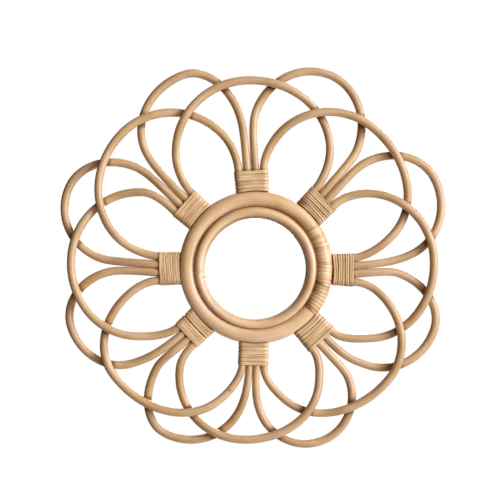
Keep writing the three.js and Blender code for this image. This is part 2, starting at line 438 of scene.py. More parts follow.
def shade(piece, material, angle=40):
    start_fresh()
    piece.select_set(True)
    bpy.context.view_layer.objects.active = piece
    bpy.ops.object.shade_smooth_by_angle(angle=math.radians(angle))
    piece.data.materials.clear()
    piece.data.materials.append(material)


def join(pieces, name):
    start_fresh()
    for piece in pieces:
        piece.select_set(True)
    bpy.context.view_layer.objects.active = pieces[0]
    bpy.ops.object.join()
    whole = bpy.context.object
    whole.name = whole.data.name = name
    return whole


def settle(piece, slot, *nodes):
    """Puts a finished piece in the place of the CAD nodes that it stands for."""
    for node in nodes:
        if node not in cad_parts:
            raise ValueError(f"no CAD node is named {node}")
    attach(piece, "root")
    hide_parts(*nodes)


# How near the end of a bar a node may be, and the half widths of its ridge and its groove in
# millimetres
LAST_NODE = 12 * MM
RIDGE = 2.6
GROOVE = 0.7

# The unevenness of rattan: the height and the length of its waves and the range in which they
# start, how far it is out of round, and how fast that turns, in radians per metre
WAVE_HEIGHT = 0.09 * MM
WAVE_LENGTH = 70 * MM
PHASES = 6.28
OUT_OF_ROUND = 0.05 * MM
TWIST = 30


def node_places(rng, length):
    """Where the nodes of a length of rattan fall."""
    gap = sizes().internode
    places = []
    place = rng.uniform(0.15, 0.9) * gap
    while place < length - LAST_NODE:
        places.append(place)
        place += gap * rng.uniform(0.8, 1.2)
    return places


def stations_for(length, nodes):
    """Even stations, with closer ones at the nodes."""
    even = np.linspace(0, length, max(4, round(length / sizes().step)) + 1)
    close = [node + offset * MM for node in nodes for offset in np.arange(-4, 4.1, 0.6)]
    return np.array(sorted(set(even.tolist() + [s for s in close if 0 < s < length])))


def wander(rng, along):
    """A gentle uneven wave along a bar."""
    wave = np.zeros_like(along)
    for octave in (1, 2.3, 4.1):
        wave += np.sin(along * 2 * math.pi * octave / WAVE_LENGTH + rng.uniform(0, PHASES)) / octave
    return wave * WAVE_HEIGHT / 1.7


def rattan_bar(name, rng, length, radius_at, sides, nodes, stain):
    """A round bar of rattan, a little wavy and out of round, with a ridge and a fine groove at
    each of its nodes."""
    swell = sizes().node_swell
    lumps = rng.uniform(0, PHASES)

    def section(along, angle):
        radius = radius_at(along) + wander(rng, along)
        radius += OUT_OF_ROUND * np.cos(2 * angle + lumps + along * TWIST)
        for node in nodes:
            away = (along - node) / MM
            radius += swell * bell(away, RIDGE) - 0.5 * swell * bell(away, GROOVE)
        return radius * np.cos(angle), radius * np.sin(angle)

    bar = rolled_bar(name, stations_for(length, nodes), sides, section)
    mark_stock(bar, rng, nodes, stain)
    return bar


# Materials

def put(tree, kind, values=None, **settings):
    """Adds a node. Its values, by input, are plain values or the sockets that feed it."""
    made = tree.nodes.new(kind)
    for name, value in settings.items():
        setattr(made, name, value)
    for key, value in (values or {}).items():
        if isinstance(value, bpy.types.NodeSocket):
            tree.links.new(value, made.inputs[key])
        else:
            made.inputs[key].default_value = value
    return made


def maths(tree, operation, *values):
    made = put(tree, "ShaderNodeMath", dict(enumerate(values)), operation=operation)
    return made.outputs[0]


def vector_maths(tree, operation, first, second):
    made = put(tree, "ShaderNodeVectorMath", {0: first, 1: second}, operation=operation)
    return made.outputs["Value" if operation == "DOT_PRODUCT" else "Vector"]


def mixed(tree, factor, low, high, blend="MIX"):
    """Mixes two colours; the factor, low and high may be sockets."""
    mix = put(tree, "ShaderNodeMix", {0: factor, 6: low, 7: high}, data_type="RGBA", blend_type=blend)
    return mix.outputs[2]


def ranged(tree, value, low, high, to_low=0.0, to_high=1.0):
    """Takes a range of values to another, and holds them inside it."""
    spread = put(tree, "ShaderNodeMapRange", {0: value, 1: low, 2: high, 3: to_low, 4: to_high})
    return spread.outputs[0]


def stretched_noise(tree, place, stretch, detail, roughness=0.5):
    """Noise with as many features per metre in each direction as the stretch says."""
    noise = put(tree, "ShaderNodeTexNoise", {
        "Vector": vector_maths(tree, "MULTIPLY", place, stretch),
        "Scale": 1.0, "Detail": detail, "Roughness": roughness})
    return noise.outputs["Fac"]


def piece_noise(tree, stretch, detail, roughness=0.5):
    """Noise that lies on the piece's own coordinates."""
    place = put(tree, "ShaderNodeTexCoord").outputs["Object"]
    return stretched_noise(tree, place, stretch, detail, roughness)


def two_tone(tree, noise, low, high):
    """Two colours in the patches of a noise."""
    return mixed(tree, ranged(tree, noise, 0.35, 0.65), (*low, 1), (*high, 1))


def grain_group():
    """The grain of rattan: broad patches of tone and of hue, long fibres, short pores and the
    scars at its nodes."""
    name = "Rattan grain"
    if name in bpy.data.node_groups:
        return bpy.data.node_groups[name]
    group = bpy.data.node_groups.new(name, "ShaderNodeTree")
    for label in ("Stock", "Patches", "Fibres", "Pores"):
        group.interface.new_socket(label, in_out="INPUT", socket_type="NodeSocketVector")
    group.interface.new_socket("Node", in_out="INPUT", socket_type="NodeSocketFloat")
    for label in ("Patch", "Hue", "Fibre", "Pore", "Scar", "Height"):
        group.interface.new_socket(label, in_out="OUTPUT", socket_type="NodeSocketFloat")
    given = put(group, "NodeGroupInput").outputs
    patch = ranged(group, stretched_noise(group, given["Stock"], given["Patches"], 2.0), 0.32, 0.68)
    elsewhere = vector_maths(group, "ADD", given["Stock"], (0.31, 0.17, 0.23))
    hue = ranged(group, stretched_noise(group, elsewhere, given["Patches"], 1.0), 0.35, 0.65)
    fibre = ranged(group, stretched_noise(group, given["Stock"], given["Fibres"], 4.0, 0.6), 0.3, 0.7)
    pore = ranged(group, stretched_noise(group, given["Stock"], given["Pores"], 1.0), 0.36, 0.29)
    line = ranged(group, given["Node"], 0.35, 0.95)
    scar = maths(group, "MULTIPLY", line, ranged(group, fibre, 0.1, 0.6, 0.35, 1.0))
    sunk = maths(group, "MULTIPLY_ADD", pore, -0.5, fibre)
    height = maths(group, "MULTIPLY_ADD", scar, -0.8, sunk)
    put(group, "NodeGroupOutput", {
        "Patch": patch, "Hue": hue, "Fibre": fibre, "Pore": pore, "Scar": scar, "Height": height})
    return group


def made_once(name):
    """Lets a function make the material of this name on first use, and gives that one."""
    def wrapped(make):
        def material():
            if name not in bpy.data.materials:
                make(name)
            return bpy.data.materials[name]
        return material
    return wrapped


def new_material(name, **settings):
    """A material with one Principled shader, whose plain settings are given by input name. Gives
    its node tree and the shader."""
    material = bpy.data.materials.new(name)
    material.use_nodes = True
    shader = material.node_tree.nodes["Principled BSDF"]
    for key, value in settings.items():
        shader.inputs[key.replace("_", " ")].default_value = value
    return material.node_tree, shader


def feed(tree, shader, **sockets):
    """Links sockets to the shader's inputs, by input name."""
    for key, socket in sockets.items():
        tree.links.new(socket, shader.inputs[key.replace("_", " ")])


def bump(tree, shader, height, distance, strength):
    made = put(tree, "ShaderNodeBump", {"Height": height, "Distance": distance, "Strength": strength})
    feed(tree, shader, Normal=made.outputs["Normal"])


# What the tones are multiplied by, in patches, and where shade is painted on the rattan and where it is
# stained
PINK_TINT = (1.02, 0.985, 1.06, 1)
YELLOW_TINT = (0.99, 0.995, 0.91, 1)
# The dark brown of the painted shade and shadow in crevices, at crossings, under the cane and away from the
# light, and of the rods' knots
SHADE_AND_STAIN = (0.22, 0.078, 0.014, 1)

# The grain of each stock: the features per metre, along it and both ways across it, of its
# patches, fibres and pores, how dark its scars and its fibres are, and how it shines
ROD_GRAIN = Grain((22, 55, 55), (22, 800, 800), (240, 2400, 2400), 0.14, 0.09, 0.5)
POLE_GRAIN = Grain((22, 45, 45), (14, 520, 520), (160, 1500, 1500), 0.75, 0.07, 0.5)
CANE_GRAIN = Grain((28, 140, 140), (15, 800, 800), (200, 3800, 3800), 0.0, 0.24, 0.45)


def attribute(tree, name, output):
    return put(tree, "ShaderNodeAttribute", attribute_name=name).outputs[output]


def rattan(name, light, dark, grain):
    """Rattan whose grain runs along the piece's straight stock. Where shade is painted on it or it is
    stained, it is darker and dull.
    """
    tree, shader = new_material(name, IOR=1.5, Specular_IOR_Level=grain.sheen, Coat_Roughness=0.4)
    shade_and_stain_level = attribute(tree, "stain", "Fac")
    figure = put(tree, "ShaderNodeGroup", {
        "Stock": attribute(tree, "stock", "Vector"), "Node": attribute(tree, "node", "Fac"),
        "Patches": grain.patches, "Fibres": grain.fibres, "Pores": grain.pores,
    }, node_tree=grain_group()).outputs
    tone = mixed(tree, figure["Patch"], (*light, 1), (*dark, 1))
    tint = mixed(tree, figure["Hue"], PINK_TINT, YELLOW_TINT)
    tone = mixed(tree, 1.0, tone, tint, "MULTIPLY")
    streak = ranged(tree, figure["Fibre"], 0, 1, 1 - grain.fibre_depth, 1 + grain.fibre_depth)
    grey = put(tree, "ShaderNodeCombineColor", {0: streak, 1: streak, 2: streak}).outputs[0]
    tone = mixed(tree, 1.0, tone, grey, "MULTIPLY")
    mark = (*colours().node_mark, 1)
    tone = mixed(tree, ranged(tree, figure["Pore"], 0, 1, 0, 0.28), tone, mark)
    tone = mixed(tree, ranged(tree, figure["Scar"], 0, 1, 0, grain.scar_depth), tone, mark)
    # Darkens the tone with painted shade and shadow and with the stain of the knots
    tone = mixed(tree, 1.0, tone, mixed(tree, shade_and_stain_level, (1, 1, 1, 1), SHADE_AND_STAIN), "MULTIPLY")
    rough = ranged(tree, figure["Fibre"], 0, 1, 0.38, 0.5)
    dull = maths(tree, "MULTIPLY_ADD", shade_and_stain_level, 0.4, rough)
    coat = ranged(tree, shade_and_stain_level, 0, 0.8, 0.45, 0.02)
    feed(tree, shader, Base_Color=tone, Roughness=dull, Coat_Weight=coat)
    bump(tree, shader, figure["Height"], 0.12 * MM, 0.6)


@made_once("Petal rattan")
def petal_rattan(name):
    rattan(name, colours().rod_light, colours().rod_dark, ROD_GRAIN)


@made_once("Ring rattan")
def ring_rattan(name):
    rattan(name, colours().pole_light, colours().pole_dark, POLE_GRAIN)


@made_once("Split cane")
def split_cane(name):
    rattan(name, colours().cane_light, colours().cane_dark, CANE_GRAIN)


@made_once("Dark pin")
def dark_pin(name):
    tree, shader = new_material(name, Metallic=1.0)
    spots = piece_noise(tree, (900, 900, 900), 3.0)
    tone = mixed(tree, ranged(tree, spots, 0.4, 0.6), (0.16, 0.11, 0.07, 1), (0.30, 0.22, 0.15, 1))
    feed(tree, shader, Base_Color=tone, Roughness=ranged(tree, spots, 0.3, 0.7, 0.35, 0.6))


@made_once("Mirror silver")
def mirror_silver(name):
    tree, shader = new_material(name, Metallic=1.0)
    haze = piece_noise(tree, (25, 25, 25), 3.0)
    tint = two_tone(tree, haze, (0.975, 0.98, 0.975), (0.99, 0.99, 0.99))
    feed(tree, shader, Base_Color=tint, Roughness=ranged(tree, haze, 0.3, 0.7, 0.0, 0.003))


@made_once("Glass edge")
def glass_edge(name):
    tree, shader = new_material(name, Roughness=0.2, Coat_Weight=0.6)
    grind = piece_noise(tree, (300, 2500, 300), 2.0)
    feed(tree, shader, Base_Color=two_tone(tree, grind, (0.20, 0.36, 0.30), (0.42, 0.58, 0.51)))


@made_once("Mirror back paint")
def mirror_back_paint(name):
    tree, shader = new_material(name, Roughness=0.6)
    mottle = piece_noise(tree, (120, 120, 120), 4.0)
    feed(tree, shader, Base_Color=two_tone(tree, mottle, (0.16, 0.17, 0.17), (0.24, 0.25, 0.25)))


@made_once("Pressed board")
def pressed_board(name):
    tree, shader = new_material(name, Specular_IOR_Level=0.3)
    brown = colours().board
    chips = piece_noise(tree, (420, 420, 900), 5.0, 0.7)
    clouds = piece_noise(tree, (30, 30, 30), 2.0)
    tone = two_tone(tree, chips, [part * 0.75 for part in brown], [part * 1.35 for part in brown])
    tone = mixed(tree, ranged(tree, clouds, 0.35, 0.7, 0, 0.4), tone, (*brown, 1))
    feed(tree, shader, Base_Color=tone, Roughness=ranged(tree, chips, 0.3, 0.7, 0.55, 0.8))
    bump(tree, shader, chips, 0.2 * MM, 0.5)


@made_once("Zinc steel")
def zinc_steel(name):
    tree, shader = new_material(name, Metallic=1.0)
    grey = colours().steel
    brush = piece_noise(tree, (60, 2500, 2500), 3.0)
    cloud = piece_noise(tree, (180, 180, 180), 3.0)
    tone = two_tone(tree, cloud, [part * 0.8 for part in grey], grey)
    feed(tree, shader, Base_Color=tone, Roughness=ranged(tree, brush, 0.3, 0.7, 0.28, 0.45))
    bump(tree, shader, brush, 0.03 * MM, 0.4)


@made_once("Pale floor")
def pale_floor(name):
    tree, shader = new_material(name, Roughness=0.8)
    cloud = piece_noise(tree, (3, 3, 3), 2.0)
    feed(tree, shader, Base_Color=mixed(tree, cloud, (0.95, 0.89, 0.80, 1), (0.985, 0.925, 0.835, 1)))


# Petals

# The light comes from the upper right
AWAY_FROM_LIGHT = (-0.8, 0, -0.6)

# The dark knots on the rods, across and up from the hub, in millimetres
ROD_KNOTS = {"large_petal_sw": ((-29.4, -156.3),)}

# How far from its ends a rod leaves its binding, and where it has its full width again
TIED_LENGTH = 25 * MM
FREE_FROM = 105 * MM

# The painted shadow where another rod crosses, in millimetres: where it starts from the middle of that
# rod, how far it reaches on the dark side and on the light side, how deep and how long its faint
# tail is on the dark side, and how far the rods' middles are apart where it sets in and where it
# is full
CONTACT_EDGE = 4.8
DARK_REACH = 4.6
LIGHT_REACH = 2.4
TAIL_DEPTH = 0.27
TAIL_REACH = 22
ROD_OVER_ROD = (3, 7)

# How dark a rod is painted at most: with shadow where another crosses, and with shade in its bindings and
# at its very ends, how far beyond the cane and how far from the end that goes, and the half width of a knot
CROSSED = 0.84
TIED = 0.55
TIED_BEYOND = 4.5 * MM
BUTTED = 0.95
BUTTED_FULL = 4 * MM
BUTTED_REACH = 8 * MM
KNOT_REACH = 1.6 * MM


def petal_radius(along, length, first, last):
    """Thinner where four rods share a tight binding."""
    wide = sizes().rod_radius
    places = (0, TIED_LENGTH, FREE_FROM, length - FREE_FROM, length - TIED_LENGTH, length)
    radii = [strand_fit(half * MM)[0] for half in (first.foot, first.top, last.top, last.foot)]
    return np.interp(along, places, (radii[0], radii[1], wide, wide, radii[2], radii[3]))


def petal_bindings(index, kind):
    first = BINDINGS[(index + kind.first_binding) % len(BINDINGS)]
    return first, BINDINGS[(index + 1) % len(BINDINGS)]


def petal_lines():
    """The line of every petal, by the name of its rod."""
    return {
        f"{kind.prefix}_petal_{petal.name}": petal_line(petal, kind, *petal_bindings(index, kind))
        for kind in (LARGE_KIND, SMALL_KIND) for index, petal in enumerate(kind.petals)}


def contact_shadow(line, others):
    """How dark the painted shadow is on a rod, on its front and on its back, where the other rods cross it.
    """
    dark = [np.zeros(len(line.along)), np.zeros(len(line.along))]
    for other in others:
        apart = line.place[:, None, :] - other.place[None, :, :]
        flat = np.hypot(apart[:, :, 0], apart[:, :, 2])
        nearest = flat.argmin(axis=1)
        rows = np.arange(len(nearest))
        step = apart[rows, nearest] / MM
        shaded = step @ AWAY_FROM_LIGHT > 0
        beyond = np.maximum(0, flat[rows, nearest] / MM - CONTACT_EDGE)
        close = bell(beyond, np.where(shaded, DARK_REACH, LIGHT_REACH))
        close = np.maximum(close, shaded * TAIL_DEPTH * bell(beyond, TAIL_REACH))
        for side, depth in enumerate((step[:, 1], -step[:, 1])):
            dark[side] = np.maximum(dark[side], close * np.interp(depth, ROD_OVER_ROD, (0, 1)))
    return dark


def rod_shade_and_stain(line, others, knots):
    """The painted shade and the stain on a rod: painted shadow where rods cross, the dark stain of
    its knots, and painted shade at both of its ends, under the cane and just beyond it."""
    front, back = contact_shadow(line, others)
    knot_places = []
    for x, z in knots:
        spot = HUB + Vector((x, 0, z)) * MM
        nearest = np.hypot(line.place[:, 0] - spot.x, line.place[:, 2] - spot.z).argmin()
        knot_places.append(line.along[nearest])
    length = line.along[-1]
    covered = BINDING_TOP - MAIN_RING.radius - MAIN_RING.thick

    def stain(stock):
        along, forward, across = stock.T
        crossed = np.where(
            forward > 0, np.interp(along, line.along, front), np.interp(along, line.along, back))
        facing = fade(np.abs(forward) / sizes().rod_radius, 0.147, 0.735)
        from_end = np.minimum(along, length - along)
        # Painted shade in the bindings, just beyond them and at the very ends; painted shadow where rods
        # cross
        tied = TIED * fade(from_end, covered + TIED_BEYOND, covered)
        butted = BUTTED * fade(from_end, BUTTED_REACH, BUTTED_FULL)
        dark = np.maximum(CROSSED * crossed * facing, np.maximum(tied, butted))
        for knot in knot_places:
            dark = np.maximum(dark, (forward > 0) * bell(np.hypot(along - knot, across), KNOT_REACH))
        return dark

    return stain


def build_petals(kind):
    lines = petal_lines()
    for index, petal in enumerate(kind.petals):
        name = f"{kind.prefix}_petal_{petal.name}"
        rng = random.Random(name)
        first, last = petal_bindings(index, kind)
        line = lines[name]
        length = line.along[-1]
        others = [lines[other] for other in lines if other != name]
        # The painted shade and the knot stains of this rod
        stain = rod_shade_and_stain(line, others, ROD_KNOTS.get(name, ()))
        rod = rattan_bar(name, rng, length, lambda along: petal_radius(along, length, first, last),
                         sizes().rod_sides, node_places(rng, length), stain)
        bend_along(rod, line)
        shade(rod, petal_rattan())
        settle(rod, "petal_rod", name)


# Rings

# The side on which the inner ring is thickest, in degrees anticlockwise from the right, and the
# depth and the half width of the line between a ring's ends
THICKEST = 63
LINE_DEPTH = 0.3 * MM
LINE_WIDTH = 0.35 * MM


def build_ring(ring, stain):
    """One bar bent round until its ends meet, with its nail."""
    rng = random.Random(ring.name)
    line = ring_line(ring)
    length = line.along[-1]

    def radius_at(along):
        angle = np.radians(ring.butt + 360 * along / length + 90 - THICKEST)
        end = LINE_DEPTH * bell(np.minimum(along, length - along), LINE_WIDTH)
        return ring.thick + ring.spread * np.sin(angle) - end

    scars = [math.radians((scar - ring.butt) % 360) * ring.radius for scar in ring.scars]
    bar = rattan_bar(ring.name, rng, length, radius_at, sizes().ring_sides, scars, stain)
    bend_along(bar, line)
    shade(bar, ring_rattan())
    radial, normal = ring_directions(*map(math.radians, ring.pin))
    pin = pin_head(ring.centre + radial * ring.radius + normal * ring.thick, normal, RING_PIN)
    settle(join([bar, pin], ring.name), "ring_pole", ring.name)


# The radius of the nails' heads, and how far in front of the hub the ones in the bindings stand
RING_PIN = 0.8 * MM
BINDING_PIN = 0.75 * MM
HANGER_PIN = 2.0 * MM
PIN_FRONT = 5.75 * MM


def pin_head(place, out, radius):
    """The domed head of a small nail, facing out."""
    start_fresh()
    bpy.ops.mesh.primitive_uv_sphere_add(segments=20, ring_count=10, radius=radius)
    head = bpy.context.object
    ball = points_of(head)
    ball[:, 2] *= np.where(ball[:, 2] > 0, 0.45, 0.8)
    turn = np.array(Vector((0, 0, 1)).rotation_difference(Vector(out)).to_matrix())
    move_points(head, ball @ turn.T + np.array(place))
    shade(head, dark_pin())
    return head


def ring_angle(ring, stock):
    """The angle of a place on a ring's stock, between -180 and 180 degrees."""
    return (ring.butt + np.degrees(stock[:, 0] / ring.radius) + 180) % 360 - 180


def crevice_depth(angle):
    """How dark the painted shade in the crevice between the rings is: less so at the top, where they lie
    close.
    """
    return 1 - 0.6 * bell(angle - 98, 38)


def main_ring_shade(stock):
    """The main ring is painted with shade in the crevice beside the inner ring, at the upper right also
    farther out, and where the cane of its joint wrap lies open on it."""
    angle = ring_angle(MAIN_RING, stock)
    inward = -stock[:, 2] / MAIN_RING.thick
    wrapped = np.where((angle > WRAP_START + 0.8) & (angle < WRAP_END - 0.8), 0.8, 0.0)
    crevice = 0.7 * crevice_depth(angle) * fade(inward, 0.76, 0.96)
    shaded = 0.42 * bell(angle - 50, 22) * fade(inward, 0.2, 0.9)
    return np.maximum(wrapped, np.maximum(crevice, shaded))


def inner_ring_shade(stock):
    """The inner ring is painted with shade in the crevice beside the main ring and where it meets the
    glass, and a little on its inner side at the lower left, where painted shade dims the light."""
    aside = stock[:, 2] / INNER_RING.thick
    angle = ring_angle(INNER_RING, stock)
    crevice = 0.68 * crevice_depth(angle) * fade(aside, 0.62, 0.97)
    # Painted shade that dims the light on the inner side at the lower left
    dimmed_highlight = 0.28 * bell(angle + 145, 38) * fade(-aside, 0.25, 0.7)
    return np.maximum(crevice, np.maximum(dimmed_highlight, 0.42 * fade(-aside, 0.72, 0.96)))


def build_rings():
    build_ring(MAIN_RING, main_ring_shade)
    build_ring(INNER_RING, inner_ring_shade)


# Cane

# How much darker one corner of a binding is near the ring, by the binding's name
DARK_CORNERS = {"n": 0.5, "ne": 0.8}

# How far from the hub and how far clockwise the nails in the bindings are, in millimetres
BINDING_PINS = {"n": ((101.2, -9.8),), "nw": ((101, 13.6),)}

# The brown marks on the joint wrap's inner side: the angle, the half width in degrees and
# the strength
WRAP_MARKS = ((-37.5, 2.4, 0.8), (-30, 2.0, 0.35), (-23, 2.6, 0.45), (-13.5, 2.1, 0.85))

# The facets of a strip of cane: the length of one and how many go round it
CANE_STEP = 1.9 * MM
CANE_SIDES = 16

# How many points the line of the cane has in each turn
BINDING_POINTS = 64
WRAP_POINTS = 56

# The cane of a binding: how far it starts below the ring's edge, how much its turns rise and
# fall and stand off, how far its back is from the strands in front and at the side, how far up
# it follows the ring's curve, and how far out it is cut round at its gaps
CANE_START = 0.5 * MM
CANE_RISE = 0.16 * MM
CANE_LIFT = 0.12 * MM
CANE_FRONT = 0.15 * MM
CANE_SIDE = 0.9 * MM
CURVED_PART = 16 * MM
GAP_EDGE = 0.8 * MM


def cane_strip(name, rng, line, width, thickness, roundness, stain):
    """A strip of split cane laid along a line, with a flat back and a domed face. Its width and
    the roundness of its edges are functions of the distance along it."""
    def section(along, angle):
        side = np.cos(angle)
        rise = np.clip(np.sin(angle), 0, 1)
        across = np.sign(side) * np.abs(side) ** roundness(along) * width(along) / 2
        return rise ** roundness(along) * thickness, across

    stations = np.linspace(0, line.along[-1], round(line.along[-1] / CANE_STEP) + 1)
    strip = rolled_bar(name, stations, CANE_SIDES, section)
    mark_stock(strip, rng, (), stain)
    bend_along(strip, line)
    shade(strip, split_cane(), 50)
    return strip


def slot_point(share, half_width, half_thick):
    """A point on the outline round four strands, at a share of the way round from the middle of
    the back, and the direction that it faces, both as across and front."""
    flat = half_width - half_thick
    bend = math.pi * half_thick
    ends = np.cumsum([0, flat, bend, 2 * flat, bend, flat])
    way = share % 1 * ends[-1]
    facing = math.radians(np.interp(way, ends, (-90, -90, 90, 90, 270, 270)))
    middle = np.interp(way, ends, (0, flat, flat, -flat, -flat, 0))
    normal = (math.cos(facing), math.sin(facing))
    return (middle + half_thick * normal[0], half_thick * normal[1]), normal


def winding_shade(binding, aside, height, pitch):
    """How dark the cane of a binding is: painted shade on its side away from the light and at its
    foot beside the ring, and, on some, a darker corner near the ring."""
    away = clockwise(binding.bearing).dot(Vector(AWAY_FROM_LIGHT))
    # Painted shade on the side away from the light and on the first turn beside the ring
    side = 0.6 * fade(aside * math.copysign(1, away), 0.55, 1) * abs(away)
    foot = 0.15 * math.exp(-max(0, height - pitch * 0.5) / (1.3 * MM))
    corner = DARK_CORNERS.get(binding.name, 0) * fade(-aside, 0.2, 0.8) * fade(height, 15.4 * MM, 4.4 * MM)
    return max(side, foot, corner)


def winding_line(binding, rng):
    """The way of the cane round the strands, from the ring to the binding's top. Gives the line,
    the pitch of the turns and, along it, how near the cane is to a gap and how dark it is, mostly with
    painted shade."""
    edge = ring_edge(binding)
    low = edge - CANE_START
    room = BINDING_TOP - low
    pitch = room / binding.turns
    gaps = [round((gap * MM - low) / pitch) * pitch for gap in binding.gaps]
    hand = math.copysign(1, binding.slant)
    sloped = abs(binding.slant) * MM / pitch
    halves = range(2 * binding.turns + 2)
    rises = [rng.uniform(-1, 1) for _ in halves]
    lifts = [rng.uniform(0, 1) for _ in halves]
    places, fronts, by_gap, shade_and_stain_level = [], [], [], []
    for turn in np.linspace(0, binding.turns, BINDING_POINTS * binding.turns + 1):
        whole = min(int(turn), binding.turns - 1)
        climb = np.interp(turn - whole, (0, 0.25, 0.75, 1), (0, 0.5 - sloped / 2, 0.5 + sloped / 2, 1))
        height = pitch * (whole + climb) + CANE_RISE * np.interp(2 * turn, halves, rises)
        height = np.clip(height, pitch * 0.5, room - pitch * 0.5)
        by_gap.append(sum(math.exp(-abs(height - gap) / pitch) for gap in gaps))
        for gap in gaps:
            near = math.exp(-abs(height - gap) / pitch)
            height += binding.gape * MM * math.tanh((height - gap) / GAP_EDGE) * near
        half = np.interp(height, (0, room), (binding.foot, binding.top)) * MM
        lift = CANE_LIFT * np.interp(2 * turn, halves, lifts)
        thick = strand_fit(half)[0] + CANE_FRONT + lift
        (across, front), (facing_across, facing_front) = slot_point(turn, half - CANE_SIDE + lift, thick)
        across *= hand
        height += binding.fan * MM * (0.5 + 0.5 * across / half) * (1 - height / room)
        shade_and_stain_level.append(winding_shade(binding, across / half, height, pitch))
        drop = edge - math.sqrt(edge ** 2 - across ** 2)
        out = low + height - drop * np.clip(1 - height / CURVED_PART, 0, 1)
        place = from_hub(binding.bearing, out, across + binding.shift * MM)
        places.append(HUB + place - Vector((0, front, 0)))
        fronts.append(clockwise(binding.bearing) * facing_across * hand - Vector((0, facing_front, 0)))
    return line_through(places, fronts), pitch, by_gap, shade_and_stain_level


def binding_pin(binding, out, across):
    """A nail through a binding's cane."""
    place = HUB + from_hub(binding.bearing, out * MM, across * MM) - Vector((0, PIN_FRONT, 0))
    return pin_head(place, (0, -1, 0), BINDING_PIN)


def build_binding(binding):
    """One strip of cane wound round four strands, with its nails."""
    name = f"binding_{binding.name}"
    rng = random.Random(name)
    line, pitch, by_gap, shade_and_stain_level = winding_line(binding, rng)
    loosest, closest = binding.laid - 0.05, min(1.0, binding.laid + 0.03)
    closeness = [rng.uniform(loosest, closest) for _ in range(binding.turns * 2 + 1)]
    knots = np.linspace(0, line.along[-1], len(closeness))

    def width(along):
        narrowed = 0.8 * binding.gape * MM * np.interp(along, line.along, by_gap)
        return pitch * np.interp(along, knots, closeness) - narrowed

    def roundness(along):
        return np.full_like(along, np.interp(binding.laid, (0.9, 1), (0.45, 0.2)))

    def stain(stock):
        return np.interp(stock[:, 0], line.along, shade_and_stain_level)

    strip = cane_strip(name, rng, line, width, sizes().cane_thickness, roundness, stain)
    pins = [binding_pin(binding, *spot) for spot in BINDING_PINS.get(binding.name, ())]
    settle(join([strip, *pins], name), "cane", name)


def build_joint_wrap():
    """Cane wound round the main ring over the joint of its ends. It is loose over the first part
    of the way, so that gaps open on the inner side."""
    name = "ring_joint_binding"
    rng = random.Random(name)
    sweep = WRAP_END - WRAP_START
    places, fronts, pitches, inner_side = [], [], [], []
    for turn in np.linspace(0, WRAP_TURNS, WRAP_POINTS * WRAP_TURNS + 1):
        round_tube = turn * 2 * math.pi - math.pi / 2
        radial, normal = ring_directions(math.radians(WRAP_START + sweep * turn / WRAP_TURNS), round_tube)
        rise = MAIN_RING.thick + 0.15 * MM + 0.1 * MM * math.sin(turn * 2.1)
        places.append(MAIN_RING.centre + radial * MAIN_RING.radius + normal * rise)
        fronts.append(normal)
        inner_side.append(-math.cos(round_tube))
        reach = MAIN_RING.radius + MAIN_RING.thick * math.cos(round_tube)
        pitches.append(reach * math.radians(sweep) / WRAP_TURNS)
    line = line_through(places, fronts)
    length = line.along[-1]
    loose = [rng.uniform(0.05, 0.3) for _ in range(2 * WRAP_TURNS)]
    knots = np.linspace(0, 1, len(loose))

    def marked(along):
        angle = WRAP_START + sweep * along / length
        return sum(strength * bell(angle - at, wide) for at, wide, strength in WRAP_MARKS)

    def looseness(along):
        share = along / length
        loosened = 1 + 0.6 * marked(along)
        return np.interp(share, (0, 0.38, 0.46), (1, 1, 0)) * np.interp(share, knots, loose) * loosened

    def width(along):
        inner = np.interp(along, line.along, np.maximum(inner_side, 0))
        return np.interp(along, line.along, pitches) * (1.02 - looseness(along) * (0.35 + 0.65 * inner))

    def roundness(along):
        return np.interp(along / length, (0, 0.36, 0.46, 1), (0.6, 0.6, 0.1, 0.1))

    def stain(stock):
        along = stock[:, 0]
        aside = np.interp(along, line.along, inner_side)
        # Painted shade on the inner side, deeper where the cane lies loose, and the brown marks
        shaded = fade(aside, -0.15, 0.85) * (0.4 + 1.8 * looseness(along))
        return np.minimum(1, np.maximum(shaded, marked(along) * fade(aside, -0.54, 0.29)))

    strip = cane_strip(name, rng, line, width, WRAP_CANE, roundness, stain)
    settle(strip, "cane", name)


# Glass, board and hanger

GLASS_RADIUS = 73 * MM
GLASS_FRONT = -11.9 * MM
GLASS_BACK = -8.9 * MM
BOARD_RADIUS = 73.6 * MM
BOARD_FRONT = -8.6 * MM
BOARD_BACK = -4.6 * MM


def disc(name, radius, front, back, edge):
    """A round plate with eased edges, standing on edge to face the room."""
    start_fresh()
    middle = (MAIN_RING.centre.x, (front + back) / 2, MAIN_RING.centre.z)
    bpy.ops.mesh.primitive_cylinder_add(
        vertices=160, radius=radius, depth=back - front, location=middle, rotation=(math.pi / 2, 0, 0))
    plate = bpy.context.object
    plate.name = plate.data.name = name
    bpy.ops.object.transform_apply(location=True, rotation=True, scale=True)
    ease_edges(plate, edge, 3, 60)
    mend(0.005 * MM)
    return plate


def build_glass():
    """The mirror: silvered face, ground edge and painted back."""
    glass = disc("mirror_glass", GLASS_RADIUS, GLASS_FRONT, GLASS_BACK, 0.5 * MM)
    shade(glass, mirror_silver(), 20)
    glass.data.materials.append(glass_edge())
    glass.data.materials.append(mirror_back_paint())
    for face in glass.data.polygons:
        face.material_index = 0 if face.normal.y < -0.99 else 2 if face.normal.y > 0.99 else 1
    settle(glass, "mirror", "mirror_glass")


def build_board():
    board = disc("backing_board", BOARD_RADIUS, BOARD_FRONT, BOARD_BACK, 0.8 * MM)
    shade(board, pressed_board(), 30)
    settle(board, "board", "backing_board")


